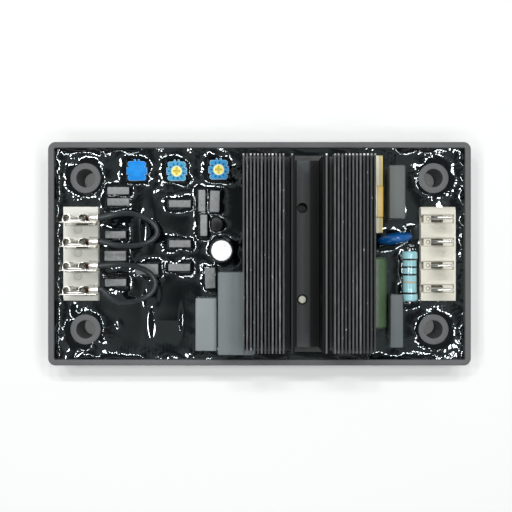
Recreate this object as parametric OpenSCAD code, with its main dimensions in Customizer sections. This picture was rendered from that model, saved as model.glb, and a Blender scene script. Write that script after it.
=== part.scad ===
// Automatic voltage regulator for a generator.
// A moulded tray holds a board potted in resin, a finned heat sink, two rows of blade
// terminals and three setting trimmers. X runs along the tray, Y across it, Z up.
// Millimetres, with the origin at the bottom centre of the tray.

/* [Case] */
// Length of the case along X
case_len = 139; // [138:0.5:150]
// Width of the case along Y
case_wid = 73.5; // [72.5:0.5:84]
// Height of the case up to its rim
case_h = 17; // [16.5:0.1:18]
// Wall thickness
case_wall = 1.9; // [1.5:0.1:2.2]
// Floor thickness
case_floor = 2; // [1.5:0.1:3]
// Radius of the outer corners
case_corner_r = 2.4; // [1:0.1:4]

/* [Fixing holes] */
// Distance of the hole centres from the ends of the case
hole_end = 12; // [11.5:0.5:13]
// Distance of the hole centres from the sides of the case
hole_side = 11.75; // [11.25:0.25:12.75]
// Diameter of the holes
hole_d = 6; // [4:0.1:7]
// Outer diameter of the moulded bosses
boss_d = 10; // [8.5:0.1:10.4]
// How far the bosses stand above the resin
boss_proud = 1.3; // [0.5:0.1:2]

/* [Board and resin] */
// Height of the board's underside above the ground
board_z = 7.9; // [7:0.1:8.2]
// Board thickness
board_t = 1.6; // [1:0.1:1.8]
// Gap between the board's edge and the case wall
board_gap = 1; // [0.5:0.1:1.5]
// Depth of the resin surface below the rim
resin_drop = 2.8; // [2.4:0.1:3.2]

/* [Heat sink] */
// Length of the extrusion along Y
sink_len = 61; // [50:1:64]
// Height of the fins above the wing plates
fin_h = 9.5; // [4:0.5:12]
// Thickness of one fin
fin_t = 0.5; // [0.4:0.05:0.7]
// Fin spacing
fin_pitch = 1.11; // [1:0.01:1.11]
// Fins on each wing
fin_count = 12; // [6:1:12]
// Thickness of the wing plates
wing_t = 2.5; // [1.5:0.1:3]
// Thickness of the channel floor
sink_floor_t = 3; // [2:0.1:4]

/* [Terminals] */
// Spacing of the blade tabs
tab_pitch = 7.62; // [7:0.01:7.8]
// Width of a blade tab
tab_w = 6.3; // [5.5:0.1:6.3]
// Thickness of a blade tab
tab_t = 0.8; // [0.5:0.1:0.8]
// Height of a tab above its block
tab_h = 11.8; // [11:0.1:13]
// Height of the terminal blocks above the board
block_h = 7.9; // [6.5:0.1:9]
// Diameter of the jumper wires over their insulation
wire_d = 1.8; // [1.2:0.1:1.9]

/* [Trimmers] */
// Side of a trimmer body
trimmer_side = 6.7; // [6:0.1:7]
// Height of a trimmer above the board
trimmer_h = 8; // [7.5:0.1:9]
// Diameter of the turning rotor
rotor_d = 3.4; // [2.5:0.1:4]
// Gap around and under a rotor
rotor_gap = 0.06; // [0.04:0.01:0.1]

/* [Capacitors] */
// Height of the small box capacitors above the board
small_cap_h = 6.5; // [6.2:0.1:7.5]
// Diameter of the electrolytic capacitor
can_d = 8; // [6:0.1:8.4]
// Height of the electrolytic capacitor above the board
can_h = 12.5; // [9:0.5:16]

/* [Hidden] */
$fn = 48;
eps = 0.01;

// Levels
board_top = board_z + board_t;
resin_top = case_h - resin_drop;
boss_top = resin_top + boss_proud;
inner_len = case_len - 2 * case_wall;
inner_wid = case_wid - 2 * case_wall;
inner_r = max(case_corner_r - case_wall, 0.5);
hole_pitch_x = case_len - 2 * hole_end;
hole_pitch_y = case_wid - 2 * hole_side;
boss_spots = [for (sx = [-1, 1], sy = [-1, 1]) [sx * hole_pitch_x / 2, sy * hole_pitch_y / 2]];
boss_clear = 0.5;

// Places of the parts: along X from the inside of the nearer end of the tray, along Y from its
// middle line, where they spread with the tray's inside width
drawn_wid = 69.7;
spread = inner_wid / drawn_wid;
function from_left(p) = [-inner_len / 2 + p[0], p[1] * spread];
function from_right(p) = [inner_len / 2 - p[0], p[1] * spread];

// Power stage under the heat sink
power_x = 14;
power_spots = [-15, 15];
power_size = [15.8, 20, 5];
power_hole_d = 3.5;
pad_t = 0.5;
pad_wid = 10.8;
pad_x = 15.7;
pad_side_gap = 2.45;
screw_d = 2.9;
screw_head_d = 5.6;
screw_head_h = 2;
screw_ends = [2.8, 0.4];

// Terminal blocks: the right one as drawn, the left one turned end for end
block_end_gap = 3.2;
block_size = [11.4, 30.8];
block_x = inner_len / 2 - block_end_gap - block_size[0] / 2;
end_bevel = [1.1, 0.8];
cell_size = [10.7, 2.7, 0.8];
mouth_size = [1, 2.2, 2.6];
slot_size = [3.9, 2.1, 3];
slot_x = -0.3;
dimple_x = -3.2;
dimple = [1.3, 0.4];
pin_mark = [2.5, 0.15];
pin_mark_x = 0.7;
tab_dx = -0.3;
tab_x = block_x + tab_dx;
tab_tip = [4.4, 0.5, 1.2];
tab_neck = [3.4, 5];
left_row_dy = -0.9;
block_top = board_top + block_h;
tab_rows = [for (k = [-1.5, -0.5, 0.5, 1.5]) -k * tab_pitch];

// Pulse transformer under the right wing: a flanged bobbin and the winding on its middle limb
former_size = [10.8, 25.4, 8.6];
former_place = [32.6, 19.5];
former_spot = from_right(former_place);
flange_y = [5, 10];
winding_over = 0.1;
winding_h = 9.3;
limb_size = [5, 5];
limb_low = 2;
limb_in = 1;

// Varistor: a disc on edge, just clear of the transformer
disc_former_gap = 1.8;
disc_d = 11.8;
disc_t = 4;
disc_full = 0.85;
disc_turn = 8;
disc_lift = 0.2;
disc_lead_d = 0.8;
disc_lead_pitch = 5;
disc_place = [22.9, 0];
disc_spot = [from_right(disc_place)[0], former_spot[1] - former_size[1] / 2 - disc_former_gap];

// Film resistor, beside the right terminal block
blue_d = [5.2, 4.6];
blue_len = 16.5;
blue_cap = 3;
blue_round = 0.8;
blue_lift = 4.5;
blue_lead = [0.8, 0.5];
blue_block_gap = 1;
blue_disc_step = 12.4;
blue_spot = [block_x - block_size[0] / 2 - blue_block_gap - blue_d[0] / 2,
    disc_spot[1] - blue_disc_step];

// Large film capacitors: size along X, Y and up from the board, then centres
film_sizes = [[6.9, 17.1, 12.5], [11.7, 26.5, 16.5], [5.3, 17.5, 11], [4.2, 17.3, 11]];
film_cap_r = 0.5;
film_pair_gap = 0.5;
film_blue_gap = 0.1;
film_places = [[0, -22.9], [60.1, -19.1], [22.8, 20.1], [0, -21.9]];
film_2_spot = from_left(film_places[1]);
film_1_spot = [film_2_spot[0] - film_sizes[1][0] / 2 - film_pair_gap - film_sizes[0][0] / 2,
    from_left(film_places[0])[1]];
film_4_spot = [blue_spot[0] - blue_d[0] / 2 - film_blue_gap - film_sizes[3][0] / 2,
    from_right(film_places[3])[1]];
film_spots = [film_1_spot, film_2_spot, from_right(film_places[2]), film_4_spot];

// Wire-wound resistor, between the last film capacitor and the heat sink
green_d = 8.4;
green_len = 23.4;
green_round = 1;
green_lift = 0.4;
green_lead = [0.9, 2.6];
green_film_gap = 0.2;
green_place = [0, -12.9];
green_spot = [film_4_spot[0] - film_sizes[3][0] / 2 - green_film_gap - green_d / 2,
    from_right(green_place)[1]];

// Heat sink section, measured from its own middle line
sink_x = 15.1;
sink_z = board_top + power_size[2] + pad_t;
channel_half = 4.3;
web_half = 7.6;
first_fin = web_half + fin_t / 2;
wing_half = web_half + fin_t + (fin_count - 1) * fin_pitch;
wing_clear = 1;
wing_rise = board_top + film_sizes[1][2] + wing_clear - sink_z;
lip_t = 0.5;
ledge_w = 0.7;
ledge_drop = 3;
floor_rib_x = 3.2;
floor_rib = [0.6, 0.8];
sink_hole_d = 3.4;

// Push-on receptacles with a flag crimp
sheet_t = 0.3;
grip_gap = 0.3;
grip_half = tab_w / 2 + grip_gap + sheet_t;
curl_r = 1.3;
curl_leg = 0.35;
lip_out = 1;
clip_h = 8;
clip_over = 0.4;
clip_z = block_top + tab_h + clip_over - clip_h;
crimp_x = [4.4, 7.3];
crimp_wall = 0.6;
crimp_bore = wire_d + 0.1;
crimp_strip_back = 0.5;
crimp_rise = 5.7;
crimp_dy = 0.95;
crimp_strip_h = 3;
crimp_z = clip_z + crimp_rise;

// Routes of the two jumper wires as seen from above, with their drop below the crimps
wire_sides = 8;
wire_steps = 4;
wire_in = 1.2;
wire_out = 1;
jumper_upper_route = [[-46, 12.5, 1.2], [-42, 13, 4], [-38.5, 12.2, 6.4], [-35.5, 10.6, 7.8],
    [-33.6, 8.4, 8], [-33.5, 6.2, 8], [-35, 4.4, 7.8], [-37.5, 3.3, 7], [-40.5, 2.6, 5.2],
    [-43.5, 2.6, 3], [-46.5, 2.8, 1.2]];
jumper_lower_route = [[-46.5, -3.5, 1.2], [-43.5, -3.5, 3], [-40.5, -4, 5.4], [-37.5, -5.2, 7.2],
    [-35.3, -6.8, 8], [-34.1, -8.8, 8], [-34, -10.4, 8], [-34.8, -12.2, 8], [-36.5, -13.8, 7.8],
    [-39, -15, 6.6], [-42, -15.6, 4.6], [-45, -15.4, 2.4], [-47.6, -13.8, 0.8]];

// Trimmers: centres, and the shape of the moulded body
trimmer_places = [[27.3, 27.2], [40.4, 27.1], [54.2, 27.6]];
trimmer_spots = [for (p = trimmer_places) from_left(p)];
side_step = 0.4;
band_h = 2.4;
corner_cut = 0.5;
notch = [0.35, 0.5];
nub = [0.6, 0.7];
nub_x = 0.65;
rotor_h = 1.3;
slot_w = 0.55;
slot_deep = 0.5;
seal_h = 0.6;
seal_edge = 0.05;
seal_d = trimmer_side - 2 * (side_step + seal_edge);
seal_rise = 0.45;
seal_steps = 8;
rotor_sunk = 0.1;
slot_share = 0.72;
rotor_top = board_top + trimmer_h - rotor_sunk;
sealed_top = board_top + trimmer_h - seal_h;

// Small box capacitors: place from the left end and the middle line, size along X and Y, turn
small_caps = [
    [21, 20.8, 7.2, 2.5, 0], [21, 17.1, 7.2, 2.5, 0], [41.3, 16.5, 7.2, 2.4, 0],
    [48.6, 17.5, 2.3, 7.2, 0], [52.8, 17.3, 3.2, 7.1, -2], [49.2, 9.4, 2.3, 7.1, 0],
    [20.1, 6.3, 6.8, 2.4, 0], [41.3, 3.3, 7.2, 2.4, 0], [20, -0.7, 7.1, 3.2, 0],
    [41.1, -4.5, 7.2, 2.4, 0], [20.1, -9.5, 7, 2.4, 0], [51.3, -8, 3.4, 6.9, 2],
    [30.5, -5.1, 7.4, 3.5, 0]];
small_cap_r = 0.35;

// Electrolytic capacitor
can_place = [55.3, 1];
can_spot = from_left(can_place);
sleeve_t = 0.25;
sleeve_round = 0.7;
can_low = 0.3;
sleeve_lip = 0.7;
vent = [0.35, 0.2];
vent_share = 0.6;

// Transistor and control chip
to92_place = [53.2, 9.6];
to92_spot = from_left(to92_place);
to92_d = 4.8;
to92_flat = 1.6;
to92_h = 6.4;
chip_place = [36.6, -22];
chip_spot = from_left(chip_place);
chip_size = [9.8, 6.4, 4.9];

// Flat shapes

module rounded(size, r) {
    square([size[0] - 2 * r, size[1]], center = true);
    square([size[0], size[1] - 2 * r], center = true);
    for (sx = [-1, 1], sy = [-1, 1])
        translate([sx * (size[0] / 2 - r), sy * (size[1] / 2 - r)])
            circle(r);
}

module block_on_board(spot, size, r, h, turn = 0) {
    translate([spot[0], spot[1], board_top])
        rotate([0, 0, turn])
            linear_extrude(h)
                rounded(size, r);
}

// Case: one moulding with its four fixing bosses

module case() {
    color([0.16, 0.16, 0.17])
        difference() {
            union() {
                difference() {
                    linear_extrude(case_h)
                        rounded([case_len, case_wid], case_corner_r);
                    translate([0, 0, case_floor])
                        linear_extrude(case_h)
                            rounded([inner_len, inner_wid], inner_r);
                }
                for (p = boss_spots)
                    translate([p[0], p[1], case_floor / 2])
                        cylinder(d = boss_d, h = boss_top - case_floor / 2);
            }
            for (p = boss_spots)
                translate([p[0], p[1], -1])
                    cylinder(d = hole_d, h = boss_top + 2);
        }
}

// Board: floats in the resin, with clearance holes for the bosses and the two screws

module board_shape() {
    translate([0, 0, board_z])
        linear_extrude(board_t)
            difference() {
                square([inner_len - 2 * board_gap, inner_wid - 2 * board_gap], center = true);
                for (p = boss_spots)
                    translate(p)
                        circle(d = boss_d + 2 * boss_clear);
                for (y = power_spots)
                    translate([power_x, y])
                        circle(d = power_hole_d);
            }
}

module circuit_board() {
    color([0.1, 0.35, 0.15])
        board_shape();
}

// Resin: fills the tray up to its level around everything that stands in it

module potting_resin() {
    color([0.05, 0.05, 0.06])
        difference() {
            translate([0, 0, case_floor])
                linear_extrude(resin_top - case_floor)
                    rounded([inner_len, inner_wid], inner_r);
            for (p = boss_spots)
                translate([p[0], p[1], case_floor - 1])
                    cylinder(d = boss_d, h = resin_top);
            board_shape();
            for (k = [0, 1]) {
                power_body(k);
                screw_space(k);
                screw_hole(k);
            }
            block_space(-1);
            block_space(1);
            for (p = trimmer_spots)
                trimmer_block(p);
            for (c = small_caps)
                small_cap_block(c);
            for (k = [0 : 3])
                film_cap_block(k);
            can_space();
            green_shape();
            blue_shape();
            disc_shape();
            bobbin_shape();
            winding_space();
            to92_shape();
            chip_shape();
        }
}

// Power stage: two transistors bolted up against the heat sink through the board

module power_body(k) {
    translate([power_x - power_size[0] / 2, power_spots[k] - power_size[1] / 2, board_top])
        cube(power_size);
}

module power_transistor(k) {
    color([0.12, 0.12, 0.12])
        difference() {
            power_body(k);
            translate([power_x, power_spots[k], board_top - 1])
                cylinder(d = power_hole_d, h = power_size[2] + 2);
        }
}

module power_transistor_1() { power_transistor(0); }
module power_transistor_2() { power_transistor(1); }

module insulating_pad() {
    color([0.2, 0.2, 0.2])
        translate([0, 0, sink_z - pad_t])
            linear_extrude(pad_t)
                difference() {
                    translate([pad_x, 0])
                        square([pad_wid, inner_wid - 2 * pad_side_gap], center = true);
                    for (y = power_spots)
                        translate([power_x, y])
                            circle(d = power_hole_d);
                }
}

// Screw: its head bears on the board from below and its end shows in the channel floor

module screw_space(k) {
    translate([power_x, power_spots[k], board_z - screw_head_h])
        cylinder(d = screw_head_d, h = screw_head_h);
}

module screw_hole(k) {
    translate([power_x, power_spots[k], board_z - eps])
        cylinder(d = power_hole_d, h = board_t + 2 * eps);
}

module sink_screw(k) {
    color([0.85, 0.85, 0.75]) {
        screw_space(k);
        translate([power_x, power_spots[k], board_z - eps])
            cylinder(d = screw_d, h = sink_z + screw_ends[k] - board_z + eps);
    }
}

module sink_screw_1() { sink_screw(0); }
module sink_screw_2() { sink_screw(1); }

// Heat sink: one extrusion with a deep channel, two wings and upright fins

module sink_half() {
    square([web_half, sink_floor_t]);
    translate([channel_half, 0])
        square([web_half - channel_half, wing_rise + wing_t]);
    translate([channel_half, 0])
        square([ledge_w + lip_t, wing_rise + wing_t + fin_h - ledge_drop]);
    translate([channel_half + ledge_w, 0])
        square([lip_t, wing_rise + wing_t + fin_h]);
    translate([channel_half, wing_rise])
        square([wing_half - channel_half, wing_t]);
    translate([floor_rib_x - floor_rib[0] / 2, sink_floor_t - eps])
        square([floor_rib[0], floor_rib[1]]);
    for (k = [0 : fin_count - 1])
        translate([first_fin + k * fin_pitch - fin_t / 2, wing_rise + wing_t - eps])
            square([fin_t, fin_h + eps]);
}

module heat_sink() {
    color([0.2, 0.2, 0.21])
        difference() {
            translate([sink_x, sink_len / 2, sink_z])
                rotate([90, 0, 0])
                    linear_extrude(sink_len) {
                        sink_half();
                        mirror([1, 0])
                            sink_half();
                    }
            for (y = power_spots)
                translate([power_x, y, sink_z - 1])
                    cylinder(d = sink_hole_d, h = sink_floor_t + 2);
        }
}

// Terminal blocks: moulded housings, each carrying a row of four blade tabs

module block_space(side) {
    translate([side * block_x - block_size[0] / 2, -block_size[1] / 2, board_top])
        cube([block_size[0], block_size[1], block_h]);
}

// A tab is stamped with a narrow neck and coined to a thin end on all four sides

module tab_blank(side, y) {
    shoulder = block_h + tab_neck[1];
    end = block_h + tab_h;
    translate([side * tab_x, y, board_top])
        intersection() {
            translate([0, tab_t, 0])
                rotate([90, 0, 0])
                    linear_extrude(2 * tab_t)
                        polygon([
                            [-tab_neck[0] / 2, 0], [tab_neck[0] / 2, 0],
                            [tab_neck[0] / 2, shoulder], [tab_w / 2, shoulder],
                            [tab_w / 2, end - tab_tip[2]], [tab_tip[0] / 2, end],
                            [-tab_tip[0] / 2, end], [-tab_w / 2, end - tab_tip[2]],
                            [-tab_w / 2, shoulder], [-tab_neck[0] / 2, shoulder]]);
            translate([-tab_w, 0, 0])
                rotate([90, 0, 90])
                    linear_extrude(2 * tab_w)
                        polygon([
                            [-tab_t / 2, -1], [tab_t / 2, -1], [tab_t / 2, end - tab_tip[2]],
                            [tab_tip[1] / 2, end + eps], [-tab_tip[1] / 2, end + eps],
                            [-tab_t / 2, end - tab_tip[2]]]);
        }
}

module terminal_block(side, dy) {
    color([0.92, 0.91, 0.86])
        difference() {
            block_space(side);
            for (y = tab_rows) {
                translate([side * (block_x - block_size[0] / 2 + (cell_size[0] - eps) / 2), y + dy, block_top])
                    cube([cell_size[0] + eps, cell_size[1], 2 * cell_size[2]], center = true);
                translate([side * (block_x - block_size[0] / 2), y + dy, block_top])
                    cube([2 * mouth_size[0], mouth_size[1], 2 * mouth_size[2]], center = true);
                translate([side * (block_x + slot_x), y + dy, block_top])
                    cube([slot_size[0], slot_size[1], 2 * slot_size[2]], center = true);
                translate([side * (block_x + dimple_x), y + dy, block_top - cell_size[2] - dimple[1]])
                    cylinder(d = dimple[0], h = dimple[1] + 1);
                tab_blank(side, y + dy);
            }
            for (k = [0 : len(tab_rows) - 2])
                translate([side * (block_x + pin_mark_x), (tab_rows[k] + tab_rows[k + 1]) / 2 + dy, block_top - pin_mark[1]])
                    cylinder(d = pin_mark[0], h = 1);
            translate([side * block_x, side * block_size[1] / 2, block_top])
                rotate([0, 0, side > 0 ? 0 : 180])
                    translate([-block_size[0], 0, 0])
                        rotate([90, 0, 90])
                            linear_extrude(2 * block_size[0])
                                polygon([[-end_bevel[0], 0], [0, -end_bevel[1]], [1, -end_bevel[1]], [1, 1],
                                    [-end_bevel[0], 1]]);
        }
}

module terminal_block_left() { terminal_block(-1, left_row_dy); }
module terminal_block_right() { terminal_block(1, 0); }

module tab(side, k) {
    color([0.8, 0.8, 0.78])
        tab_blank(side, tab_rows[k] + (side < 0 ? left_row_dy : 0));
}

module tab_left_1() { tab(-1, 0); }
module tab_left_2() { tab(-1, 1); }
module tab_left_3() { tab(-1, 2); }
module tab_left_4() { tab(-1, 3); }
module tab_right_1() { tab(1, 0); }
module tab_right_2() { tab(1, 1); }
module tab_right_3() { tab(1, 2); }
module tab_right_4() { tab(1, 3); }

// Receptacles: folded tin-plated sheet gripping a tab, with a crimp pointing inward

module clip_section() {
    translate([-grip_half - lip_out, -tab_t / 2 - sheet_t])
        square([2 * grip_half + lip_out, sheet_t]);
    for (s = [0, 1])
        mirror([s, 0]) {
            translate([grip_half - sheet_t, -tab_t / 2 - sheet_t])
                square([sheet_t, tab_t / 2 + sheet_t + tab_t / 2 + curl_leg]);
            translate([grip_half - 2 * curl_r, tab_t / 2])
                square([sheet_t, curl_leg]);
            translate([grip_half - curl_r, tab_t / 2 + curl_leg])
                difference() {
                    circle(curl_r);
                    circle(curl_r - sheet_t);
                    translate([-2 * curl_r, -4 * curl_r])
                        square(4 * curl_r);
                }
        }
}

module receptacle(k) {
    color([0.85, 0.85, 0.87])
        translate([-tab_x, tab_rows[k] + left_row_dy, clip_z]) {
            linear_extrude(clip_h)
                clip_section();
            translate([grip_half - eps, -tab_t / 2 - sheet_t, crimp_rise - crimp_strip_h / 2])
                cube([crimp_x[1] - grip_half - crimp_strip_back, sheet_t, crimp_strip_h]);
            translate([crimp_x[0], crimp_dy, crimp_rise])
                rotate([0, 90, 0])
                    difference() {
                        cylinder(d = crimp_bore + 2 * crimp_wall, h = crimp_x[1] - crimp_x[0]);
                        translate([0, 0, -1])
                            cylinder(d = crimp_bore, h = crimp_x[1] - crimp_x[0] + 2);
                    }
        }
}

module receptacle_1() { receptacle(0); }
module receptacle_2() { receptacle(1); }
module receptacle_3() { receptacle(2); }
module receptacle_4() { receptacle(3); }

// Jumper wires: round tubes swept along a smooth curve through the route points

function crimp_end(k, x) = [-tab_x + x, tab_rows[k] + left_row_dy + crimp_dy, crimp_z];
function lowered(route) = [for (p = route) [p[0], p[1], crimp_z - p[2]]];
function jumper_points(a, b, route) = concat(
    [for (x = [-wire_in, 0, wire_out]) crimp_end(a, crimp_x[1] + x)],
    lowered(route),
    [for (x = [wire_out, 0, -wire_in]) crimp_end(b, crimp_x[1] + x)]);
function spline_at(a, b, c, d, t) = 0.5 * (2 * b + (c - a) * t
    + (2 * a - 5 * b + 4 * c - d) * t * t + (3 * b - a - 3 * c + d) * t * t * t);
function curve(p) = concat(
    [for (i = [0 : len(p) - 2], s = [0 : wire_steps - 1])
        spline_at(p[max(i - 1, 0)], p[i], p[i + 1], p[min(i + 2, len(p) - 1)], s / wire_steps)],
    [p[len(p) - 1]]);
function unit(v) = v / norm(v);
function heading(c, i) = unit(c[min(i + 1, len(c) - 1)] - c[max(i - 1, 0)]);
function ring(c, i) = let (t = heading(c, i), side = unit(cross(t, [0, 0, 1])), up = cross(side, t))
    [for (s = [0 : wire_sides - 1]) let (a = 360 * s / wire_sides)
        c[i] + wire_d / 2 * (cos(a) * side + sin(a) * up)];

module tube(c) {
    last = len(c) - 1;
    n = wire_sides;
    polyhedron(
        points = [for (i = [0 : last]) each ring(c, i)],
        faces = concat(
            [[for (s = [0 : n - 1]) s]],
            [for (i = [0 : last - 1], s = [0 : n - 1])
                [i * n + s, (i + 1) * n + s, (i + 1) * n + (s + 1) % n]],
            [for (i = [0 : last - 1], s = [0 : n - 1])
                [i * n + s, (i + 1) * n + (s + 1) % n, i * n + (s + 1) % n]],
            [[for (s = [n - 1 : -1 : 0]) last * n + s]]));
}

module jumper_wire_upper() {
    color([0.1, 0.1, 0.1])
        tube(curve(jumper_points(0, 1, jumper_upper_route)));
}

module jumper_wire_lower() {
    color([0.1, 0.1, 0.1])
        tube(curve(jumper_points(2, 3, jumper_lower_route)));
}

// Trimmers: a moulded body with a rotor in its top; the first is sealed with lacquer

module trimmer_outline() {
    body = [trimmer_side - 2 * side_step, trimmer_side - side_step];
    difference() {
        union() {
            square(body, center = true);
            square([trimmer_side, band_h], center = true);
        }
        for (sx = [-1, 1], sy = [-1, 1]) {
            translate([sx * body[0] / 2, sy * body[1] / 2])
                rotate(45)
                    square(corner_cut * sqrt(2), center = true);
            translate([sx * body[0] / 2, sy * (band_h + notch[1]) / 2])
                square([2 * notch[0], notch[1]], center = true);
        }
    }
    for (s = [-1, 1])
        translate([s * nub_x - nub[0] / 2, body[1] / 2 - eps])
            square([nub[0], nub[1] + eps]);
}

module trimmer_block(p) {
    translate([p[0], p[1], board_top])
        linear_extrude(trimmer_h)
            trimmer_outline();
}

module trimmer_body(k) {
    pocket = (k == 0 ? sealed_top : rotor_top) - rotor_h - rotor_gap;
    color([0.15, 0.45, 0.85])
        difference() {
            trimmer_block(trimmer_spots[k]);
            translate([trimmer_spots[k][0], trimmer_spots[k][1], pocket])
                cylinder(d = rotor_d + 2 * rotor_gap, h = trimmer_h);
        }
}

module trimmer_body_1() { trimmer_body(0); }
module trimmer_body_2() { trimmer_body(1); }
module trimmer_body_3() { trimmer_body(2); }

module trimmer_rotor(k, top) {
    color([0.92, 0.85, 0.3])
        translate([trimmer_spots[k][0], trimmer_spots[k][1], top - rotor_h])
            difference() {
                cylinder(d = rotor_d, h = rotor_h);
                for (a = [0, 90])
                    rotate([0, 0, a])
                        translate([-rotor_d * slot_share / 2, -slot_w / 2, rotor_h - slot_deep])
                            cube([rotor_d * slot_share, slot_w, slot_deep + 1]);
            }
}

module trimmer_rotor_1() { trimmer_rotor(0, sealed_top - rotor_gap); }
module trimmer_rotor_2() { trimmer_rotor(1, rotor_top); }
module trimmer_rotor_3() { trimmer_rotor(2, rotor_top); }

module trimmer_seal() {
    plug_r = rotor_d / 2 + rotor_gap;
    dome_r = (seal_d * seal_d / 4 + seal_rise * seal_rise) / (2 * seal_rise);
    half = asin(seal_d / 2 / dome_r);
    color([0.15, 0.45, 0.85])
        translate([trimmer_spots[0][0], trimmer_spots[0][1], sealed_top])
            rotate_extrude()
                polygon(concat(
                    [[0, 0], [plug_r, 0], [plug_r, seal_h], [seal_d / 2, seal_h]],
                    [for (i = [1 : seal_steps])
                        let (a = half * (1 - i / seal_steps))
                        [dome_r * sin(a), seal_h + seal_rise - dome_r * (1 - cos(a))]]));
}

// Box capacitors

module small_cap_block(c) {
    block_on_board(from_left(c), [c[2], c[3]], small_cap_r, small_cap_h, c[4]);
}

module small_capacitor(k) {
    color([0.48, 0.49, 0.5])
        small_cap_block(small_caps[k]);
}

module small_capacitor_1() { small_capacitor(0); }
module small_capacitor_2() { small_capacitor(1); }
module small_capacitor_3() { small_capacitor(2); }
module small_capacitor_4() { small_capacitor(3); }
module small_capacitor_5() { small_capacitor(4); }
module small_capacitor_6() { small_capacitor(5); }
module small_capacitor_7() { small_capacitor(6); }
module small_capacitor_8() { small_capacitor(7); }
module small_capacitor_9() { small_capacitor(8); }
module small_capacitor_10() { small_capacitor(9); }
module small_capacitor_11() { small_capacitor(10); }
module small_capacitor_12() { small_capacitor(11); }
module small_capacitor_13() { small_capacitor(12); }

module film_cap_block(k) {
    block_on_board(film_spots[k], film_sizes[k], film_cap_r, film_sizes[k][2]);
}

module film_capacitor(k) {
    color([0.55, 0.56, 0.58])
        film_cap_block(k);
}

module film_capacitor_1() { film_capacitor(0); }
module film_capacitor_2() { film_capacitor(1); }
module film_capacitor_3() { film_capacitor(2); }
module film_capacitor_4() { film_capacitor(3); }

// Electrolytic capacitor: an aluminium can in a shrunk sleeve, with a scored vent

module can_space() {
    translate([can_spot[0], can_spot[1], board_top])
        cylinder(d = can_d, h = can_h);
}

// A can with a rounded shoulder, standing on its flat end

module shouldered(d, h, r) {
    rotate_extrude()
        union() {
            square([d / 2, h - r]);
            square([d / 2 - r, h]);
            intersection() {
                translate([d / 2 - r, h - r])
                    circle(r);
                square([d, h]);
            }
        }
}

module electrolytic_sleeve() {
    color([0.1, 0.1, 0.12])
        translate([can_spot[0], can_spot[1], board_top])
            difference() {
                shouldered(can_d, can_h, sleeve_round);
                translate([0, 0, can_low])
                    shouldered(can_d - 2 * sleeve_t, can_h - can_low - sleeve_t, sleeve_round - sleeve_t);
                translate([0, 0, -1])
                    cylinder(d = can_d - 2 * sleeve_lip, h = can_h + 2);
            }
}

module electrolytic_can() {
    color([0.85, 0.86, 0.88])
        translate([can_spot[0], can_spot[1], board_top + can_low])
            difference() {
                shouldered(can_d - 2 * sleeve_t, can_h - can_low - sleeve_t, sleeve_round - sleeve_t);
                for (a = [45, 135])
                    rotate([0, 0, a])
                        translate([-can_d * vent_share / 2, -vent[0] / 2, can_h - can_low - sleeve_t - vent[1]])
                            cube([can_d * vent_share, vent[0], 1]);
            }
}

// Resistors: a green wire-wound one under the right wing, a light blue film one beside it

module lead(spot, y, z, d) {
    translate([spot[0], y, board_top])
        cylinder(d = d, h = z - board_top);
    translate([spot[0], y, z])
        sphere(d = d);
}

// A round body lying along Y with rounded ends, its middle at the origin

module round_bar(d, length, r) {
    rotate([90, 0, 0])
        rotate_extrude()
            intersection() {
                rounded([d, length], r);
                translate([0, -length])
                    square([d, 2 * length]);
            }
}

module green_shape() {
    z = board_top + green_lift + green_d / 2;
    ends = [green_spot[1] - green_len / 2, green_spot[1] + green_len / 2];
    translate([green_spot[0], green_spot[1], z])
        round_bar(green_d, green_len, green_round);
    translate([green_spot[0], ends[1] + green_lead[1], z])
        rotate([90, 0, 0])
            cylinder(d = green_lead[0], h = green_len + 2 * green_lead[1]);
    lead(green_spot, ends[0] - green_lead[1], z, green_lead[0]);
    lead(green_spot, ends[1] + green_lead[1], z, green_lead[0]);
}

module wirewound_resistor() {
    color([0.35, 0.47, 0.32])
        green_shape();
}

module blue_shape() {
    z = board_top + blue_lift + blue_d[0] / 2;
    ends = [blue_spot[1] - blue_len / 2, blue_spot[1] + blue_len / 2];
    translate([blue_spot[0], blue_spot[1], z])
        round_bar(blue_d[1], blue_len, blue_round);
    for (y = [ends[0] + blue_cap / 2, ends[1] - blue_cap / 2])
        translate([blue_spot[0], y, z])
            round_bar(blue_d[0], blue_cap, blue_round);
    translate([blue_spot[0], ends[1] + blue_lead[1], z])
        rotate([90, 0, 0])
            cylinder(d = blue_lead[0], h = blue_len + 2 * blue_lead[1]);
    lead(blue_spot, ends[0] - blue_lead[1], z, blue_lead[0]);
    lead(blue_spot, ends[1] + blue_lead[1], z, blue_lead[0]);
}

module film_resistor() {
    color([0.5, 0.74, 0.76])
        blue_shape();
}

// Varistor: a dipped disc on edge, domed on both faces

function dome(a) = [disc_d / 2 * pow(cos(a), disc_full),
    disc_t / 2 * sign(a) * pow(abs(sin(a)), disc_full)];

module disc_shape() {
    translate([disc_spot[0], disc_spot[1], board_top + disc_lift + disc_d / 2])
        rotate([90, 0, disc_turn])
            rotate_extrude()
                polygon(concat([[0, -disc_t / 2]], [for (a = [-80 : 10 : 80]) dome(a)], [[0, disc_t / 2]]));
    for (s = [-1, 1])
        translate([disc_spot[0], disc_spot[1], board_top])
            rotate([0, 0, disc_turn])
                translate([s * disc_lead_pitch / 2, 0, 0])
                    cylinder(d = disc_lead_d, h = disc_d / 4);
}

module varistor() {
    color([0.1, 0.32, 0.65])
        disc_shape();
}

// Pulse transformer: a flanged bobbin with a taped winding on its middle limb

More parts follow.
